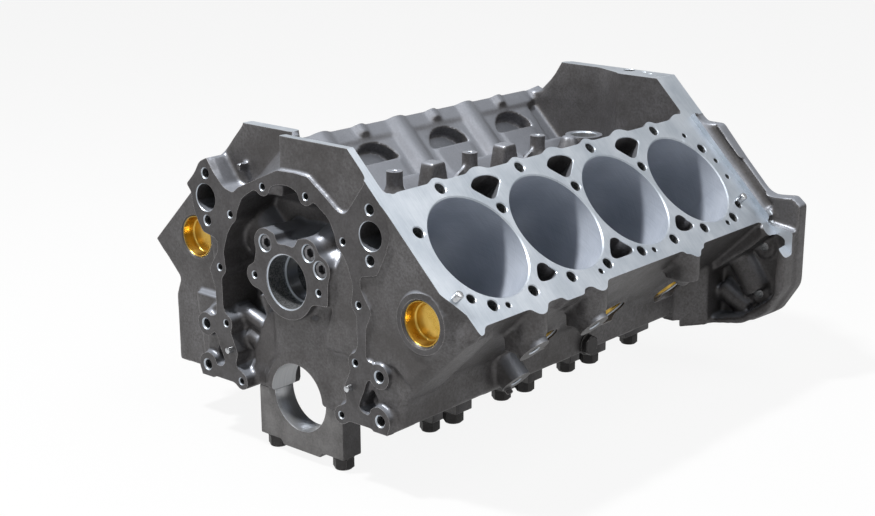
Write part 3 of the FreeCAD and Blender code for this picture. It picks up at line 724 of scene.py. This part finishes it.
for x, z in PUMP_PORTS:
    drill(holes, at(x, 0, z), AFT, [(13.6, -9, CAST), (13.6, 0, MILLED), (13.0, 0.7, MILLED),
                                    (13.0, 42, CAST), (0, 48, CAST)], 40)
for y in POSTS:
    tapped(holes, at(0, y, POST_TOP), -UP, 2.6, 16, sink=0.6)
for x, y, radius in REAR_WALL_HOLES:
    tapped(holes, at(x, y, WALL_TOP), -UP, radius, 24, sink=0.6)
drill(holes, at(0, DISTRIBUTOR_Y, DISTRIBUTOR_TOP), -UP, [
    (15, -9, BORED), (15, 0, MILLED), (14, 1, MILLED), (14, 60, BORED)], 48)
carved(holes)


def smoothed(piece, crease):
    """Shade a piece smoothly, with a crease wherever it turns by more than this many degrees."""
    piece.data.shade_smooth()
    piece.data.set_sharp_from_angle(angle=math.radians(crease))


# The band behind the left deck is bright where it meets the bell flange.
BAND_LOW, BAND_HIGH = (206, 458, 104), (233, 498, 128)
for polygon in block.data.polygons:
    inside = all(low < place < high for low, place, high in zip(
        BAND_LOW, polygon.center / MM, BAND_HIGH))
    if inside and polygon.normal.dot(LEFT.out) > 0.75:
        polygon.material_index = MILLED
smoothed(block, 32)
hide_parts("block")
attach(block, "root")

# Sand cast skin.
# Bare grey iron as it left the mould: sand grain and darker stains. Corners are lightened, partly
# rubbed wear and partly a painted highlight, and faces turned up are painted lighter and bluer as a
# painted reflection of the sky.
cast = FINISHES[CAST]
grain = cast.noise(420.0, detail=4.0, roughness=0.65)
scale = cast.noise(95.0, detail=3.0, roughness=0.6)
stain = cast.noise(17.0, detail=4.0, roughness=0.62)
tint = cast.mix(stain.clipped(0.35, 0.66), (0.088, 0.084, 0.084), (0.165, 0.162, 0.168))
tint = cast.mix((grain * 0.7 + scale * 0.3).clipped(0.30, 0.72), (0.060, 0.056, 0.055), tint)


def worn_and_highlit(finish, radius):
    """How far a corner is lightened, convex or concave: nought on the flat, and more toward a
    corner. It stands for rubbed wear and for a painted highlight.
    """
    rounded = finish.node("ShaderNodeBevel", {"samples": 4}, Radius=radius * MM)
    flat = finish.node("ShaderNodeNewGeometry", {}, output="Normal")
    return 1.0 - finish.node("ShaderNodeVectorMath", {"operation": "DOT_PRODUCT"}, rounded, flat,
                             output="Value")


# Faces turned upward are painted lighter and bluer: a painted reflection of the sky, not a colour
# of the iron.
normal = cast.node("ShaderNodeNewGeometry", {}, output="Normal")
painted_skylight_facing = cast.node("ShaderNodeSeparateXYZ", {}, normal, output=2)
tint = cast.mix(painted_skylight_facing.clipped(0.30, 0.80) * 0.55, tint, (0.37, 0.40, 0.46))
# Corners, convex and concave, are lightened toward pale grey: partly rubbed wear, partly a painted
# highlight.
rubbed_and_highlit = (worn_and_highlit(cast, 1.6) * (grain + 0.5)).clipped(0.04, 0.34)
cast.surface(
    Base_Color=cast.mix(rubbed_and_highlit * 0.7, tint, (0.42, 0.41, 0.41)),
    Roughness=0.63 - (grain * 0.16 + stain * 0.20) - rubbed_and_highlit * 0.06, Metallic=0.55,
    Normal=cast.bump(grain * 0.55 + scale, 0.5 * MM, 0.55))

# Milled iron.
# Decks, rear face and top strips: pale, with fine cutter marks and a few bluish clouds.
milled = FINISHES[MILLED]
cloud = milled.noise(26.0, detail=4.0, roughness=0.6)
marks = milled.noise(1.0, detail=2.0, place=milled.stretched((60.0, 900.0, 60.0)))
speck = milled.noise(600.0, detail=2.0)
milled.surface(
    Base_Color=milled.mix((cloud * 0.7 + marks * 0.3).clipped(0.32, 0.68), (0.405, 0.455, 0.515),
                          (0.585, 0.625, 0.675)),
    Roughness=0.30 + cloud * 0.16 + speck.clipped(0.5, 0.8) * 0.12, Metallic=0.80,
    Normal=milled.bump(marks * 0.5 + speck * 0.5, 0.06 * MM, 0.5))

# Faced iron.
# The timing rail, the mount pads and the caps' sides are coarsely faced and then browned.
# Their edges are lightened: partly worn, partly a painted highlight.
faced = FINISHES[FACED]
film = faced.noise(38.0, detail=4.0, roughness=0.65)
tooth = faced.noise(520.0, detail=3.0, roughness=0.6)
# Edges, convex and concave, are painted pale: partly wear, partly a painted highlight.
edge_wear_and_highlight = worn_and_highlit(faced, 0.9).clipped(0.03, 0.28)
faced.surface(
    Base_Color=faced.mix(edge_wear_and_highlight * 0.85, faced.mix(
        (film * 0.6 + tooth * 0.4).clipped(0.34, 0.66), (0.050, 0.047, 0.047),
        (0.098, 0.095, 0.098)),
        (0.50, 0.49, 0.49)),
    Roughness=0.50 - film * 0.22, Metallic=0.60, Normal=faced.bump(tooth, 0.16 * MM, 0.5))

# Honed iron.
# The cylinders carry a fine cross-hatch: two sets of scratches that wind round the bore.
honed = FINISHES[HONED]
axes = honed.node("ShaderNodeSeparateXYZ", {}, honed.place())
across, aft, up = (Socket(honed, axes.link.node.outputs[k]) for k in range(3))
side = honed.node("ShaderNodeMath", {"operation": "ABSOLUTE"}, across)
back = honed.node("ShaderNodeMath", {"operation": "LESS_THAN"}, across, 0.0)
along = honed.node("ShaderNodeMath", {"operation": "WRAP"},
                   aft - FIRST_BORE * MM - back * (BANK_SHIFT * MM), PITCH * MM / 2,
                   -PITCH * MM / 2)
slope, depth = (up - side) * HALF, (up + side) * HALF - DECK * MM
turn = honed.node("ShaderNodeMath", {"operation": "ARCTAN2"}, along, slope) * (BORE_RADIUS * MM)
scratch = []
for lean in (0.45, -0.45):
    run = honed.node("ShaderNodeCombineXYZ", {}, (turn + depth * lean) * 26.0,
                     (depth - turn * lean) * 1500.0)
    scratch.append(honed.noise(1.0, detail=2.0, roughness=0.7, place=run))
hatch = (scratch[0] + scratch[1]) * 0.5
haze = honed.noise(22.0, detail=2.0)
honed.surface(
    Base_Color=honed.mix((hatch * 0.6 + haze * 0.4).clipped(0.36, 0.64), (0.31, 0.345, 0.41),
                         (0.50, 0.54, 0.61)),
    Roughness=0.36 + hatch * 0.14, Metallic=0.26, Normal=honed.bump(hatch, 0.05 * MM, 0.5))

# Bored iron.
# Crank and cam bores are line-bored: bright, with fine rings round the axis.
bored = FINISHES[BORED]
rings = bored.noise(1.0, detail=2.0, place=bored.stretched((14.0, 1600.0, 14.0)))
bored.surface(
    Base_Color=bored.mix(rings.clipped(0.3, 0.7), (0.50, 0.51, 0.53), (0.60, 0.61, 0.62)),
    Roughness=0.27 + rings * 0.08, Metallic=0.88, Normal=bored.bump(rings, 0.02 * MM, 0.5))

# Threads.
# Tapped holes are dark with cutting oil, and the crests of their threads catch a little light.
thread = FINISHES[TAPPED]
oil = thread.noise(700.0, detail=2.0)
thread.surface(
    Base_Color=thread.mix(oil.clipped(0.4, 0.7), (0.14, 0.145, 0.15), (0.36, 0.37, 0.38)),
    Roughness=0.38 + oil * 0.1, Metallic=0.8, Normal=thread.bump(oil, 0.2 * MM, 0.6))

# Core plugs.
# Brass cups are pressed into the cored holes of the water jacket, open side out.
# Each has a rolled lip, a straight wall and a bottom with one step.
brass = Finish("pressed_brass")
tarnish = brass.noise(70.0, detail=4.0, roughness=0.6)
drawn = brass.noise(500.0, detail=2.0)
brass.surface(
    Base_Color=brass.mix(tarnish.clipped(0.35, 0.7), (0.50, 0.31, 0.055), (0.68, 0.46, 0.12)),
    Roughness=0.20 + tarnish * 0.16, Metallic=1.0, Normal=brass.bump(drawn, 0.05 * MM, 0.4))


def turned(shape, mouth, inward, outline, sides=48):
    """Add a round or hexagonal piece from the radii and depths of its outline."""
    drill(shape, mouth, inward, [(radius, depth, 0) for radius, depth in outline], sides)


cups = bmesh.new()
CUP = [(20.5, 14), (20.5, 1.6), (20.1, 1.0), (19.4, 0.9), (18.9, 1.6), (18.3, 10.6), (17.7, 11.8),
       (16.8, 12.4), (15.6, 12.5), (14.9, 12.1), (14.2, 12.0), (6.0, 12.2), (0, 12.3)]
for place in FRONT_PLUGS:
    turned(cups, at(*place), AFT, CUP, 64)
for bank in BANKS:
    for v in CENTRES[1:]:
        turned(cups, bank.point(v, PLUG_SLOPE + 1, PLUG_DROP), bank.slope, CUP, 64)
cups = finished("core_plug_cups", cups)
cups.data.materials.append(brass.material)
smoothed(cups, 40)
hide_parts("core_plugs")
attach(cups, "root")


def hexed(across):
    """Radius of a hexagon at an angle."""
    return lambda angle: across / 2 / math.cos((angle + math.pi / 6) % (math.pi / 3) - math.pi / 6)


# Cap bolts.
# Blackened steel bolts with a washer face under a chamfered hexagon head.
# Two hold each cap, and the three middle caps have two more outside them.
black = Finish("blackened_steel")
soot = black.noise(220.0, detail=3.0, roughness=0.6)
# The head's edges are painted paler: partly wear, partly a painted highlight.
black.surface(
    Base_Color=black.mix(worn_and_highlit(black, 0.7).clipped(0.03, 0.3) * 0.6 + soot * 0.3,
                         (0.022, 0.021, 0.022), (0.16, 0.155, 0.15)),
    Roughness=0.30 + soot * 0.22, Metallic=0.8, Normal=black.bump(soot, 0.1 * MM, 0.4))
MAIN_MIDDLES = (12.0, 132.5, 244.26, 356.02, 475.9)
BOLT = [(10.4, 0), (10.4, 1.6), (9.6, 2.0), (hexed(17.8), 2.2), (hexed(17.8), 11.2), (8.2, 12.9),
        (0, 12.95)]
for name, spread, seat, middles in (("inner", 43.5, -49.0, MAIN_MIDDLES),
                                    ("outer", 74.0, -32.0, MAIN_MIDDLES[1:4])):
    heads = bmesh.new()
    for y in middles:
        for side in (-1, 1):
            turned(heads, Vector((side * spread, y, seat)), -UP, BOLT)
    heads = finished(name + "_cap_bolt_heads", heads)
    heads.data.materials.append(black.material)
    smoothed(heads, 30)
    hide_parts(name + "_cap_bolts")
    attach(heads, "root")

# Drain plugs.
# Two blackened hexagon plugs are screwed into the water jacket, low on each side of the crankcase.
DRAIN_PLACE = (136.5, 275.0, 14.0)
DRAIN = [(10.8, 0), (10.8, 1.8), (10.2, 2.2), (hexed(18.6), 2.4), (hexed(18.6), 7.4), (8.6, 8.4),
         (0, 8.45)]
drains = bmesh.new()
for side in (-1, 1):
    x, y, z = DRAIN_PLACE
    turned(drains, at(side * x, y, z), Vector((side, 0, 0)), DRAIN)
drains = finished("drain_plug_heads", drains)
drains.data.materials.append(black.material)
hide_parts("drain_plugs")
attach(drains, "root")

# Dowels and gallery plugs.
# Ground steel pins locate the heads and the timing cover, and stand proud of the milled faces.
# Socket plugs close the oil galleries in the ears of the cam boss.
pin_steel = Finish("ground_steel")
ground = pin_steel.noise(260.0, detail=3.0)
pin_steel.surface(
    Base_Color=pin_steel.mix(ground.clipped(0.3, 0.7), (0.42, 0.43, 0.45), (0.62, 0.64, 0.66)),
    Roughness=0.18 + ground * 0.14, Metallic=1.0, Normal=pin_steel.bump(ground, 0.05 * MM, 0.4))
HEAD_DOWEL = [(0, 0), (2.6, 0), (3.6, 0.5), (3.95, 1.3), (3.95, 22)]
COVER_DOWEL = [(0, 0), (2.0, 0), (2.9, 0.5), (3.15, 1.2), (3.15, 17)]
GALLERY_PLUG = [(7.4, 12), (7.4, 2.4), (6.9, 1.9), (5.6, 1.9), (hexed(8.0), 2.5), (hexed(8.0), 8.0),
                (0, 9.0)]
pins = bmesh.new()
for bank in BANKS:
    for v, w in ((-65, -39), (391, -40)):
        turned(pins, bank.point(v, w, 9), -bank.out, HEAD_DOWEL, 32)
pins = finished("head_dowels", pins)
pins.data.materials.append(pin_steel.material)
smoothed(pins, 40)
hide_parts("deck_dowels")
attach(pins, "root")
cover_pins = bmesh.new()
for side in (-1, 1):
    turned(cover_pins, at(side * 78.5, -6, 32.8), AFT, COVER_DOWEL, 32)
cover_pins = finished("cover_dowels", cover_pins)
cover_pins.data.materials.append(pin_steel.material)
smoothed(cover_pins, 40)
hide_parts("timing_dowels")
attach(cover_pins, "root")
plugs = bmesh.new()
for x, z, _ in GALLERY_EARS:
    turned(plugs, at(x, 0, z), AFT, GALLERY_PLUG)
socket_steel = Finish("socket_steel")
oiled = socket_steel.noise(300.0, detail=3.0)
socket_steel.surface(
    Base_Color=socket_steel.mix(oiled.clipped(0.3, 0.7), (0.10, 0.10, 0.105), (0.26, 0.26, 0.27)),
    Roughness=0.32 + oiled * 0.1, Metallic=0.95, Normal=socket_steel.bump(oiled, 0.06 * MM, 0.4))
plugs = finished("gallery_plugs", plugs)
plugs.data.materials.append(socket_steel.material)
smoothed(plugs, 30)
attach(plugs, "root")

# Main caps.
# Five iron caps are sawn from bars, milled all over and line-bored with the block.
# Bolts hold them up against the main walls.
sawn = Finish("sawn_iron")
smear = sawn.noise(45.0, detail=4.0, roughness=0.62)
pores = sawn.noise(480.0, detail=3.0, roughness=0.6)
sawn.surface(
    Base_Color=sawn.mix((smear * 0.6 + pores * 0.4).clipped(0.34, 0.66), (0.100, 0.097, 0.096),
                        (0.190, 0.186, 0.186)),
    Roughness=0.50 - smear * 0.16, Metallic=0.6, Normal=sawn.bump(pores, 0.12 * MM, 0.5))
for i in range(5):
    name = "main_cap_%d" % (i + 1)
    shape = bmesh.new()
    shape.from_mesh(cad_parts[name].data)
    bmesh.ops.remove_doubles(shape, verts=shape.verts, dist=2e-6)
    bmesh.ops.dissolve_limit(shape, angle_limit=math.radians(1), verts=shape.verts,
                             edges=shape.edges)
    cap = finished("iron_" + name, shape)
    applied(cap, "BEVEL", width=1.1 * MM, segments=2, limit_method="ANGLE",
            angle_limit=math.radians(40))
    cap.data.materials.clear()
    for finish in (sawn, bored, faced):
        cap.data.materials.append(finish.material)
    for polygon in cap.data.polygons:
        if abs(polygon.normal.y) < 0.9:
            inside = math.hypot(polygon.center.x, polygon.center.z) < (CRANK_RADIUS + 1) * MM
            polygon.material_index = 1 if inside else 2
    smoothed(cap, 30)
    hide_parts(name)
    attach(cap, "root")

bpy.context.scene.view_settings.view_transform = "Standard"
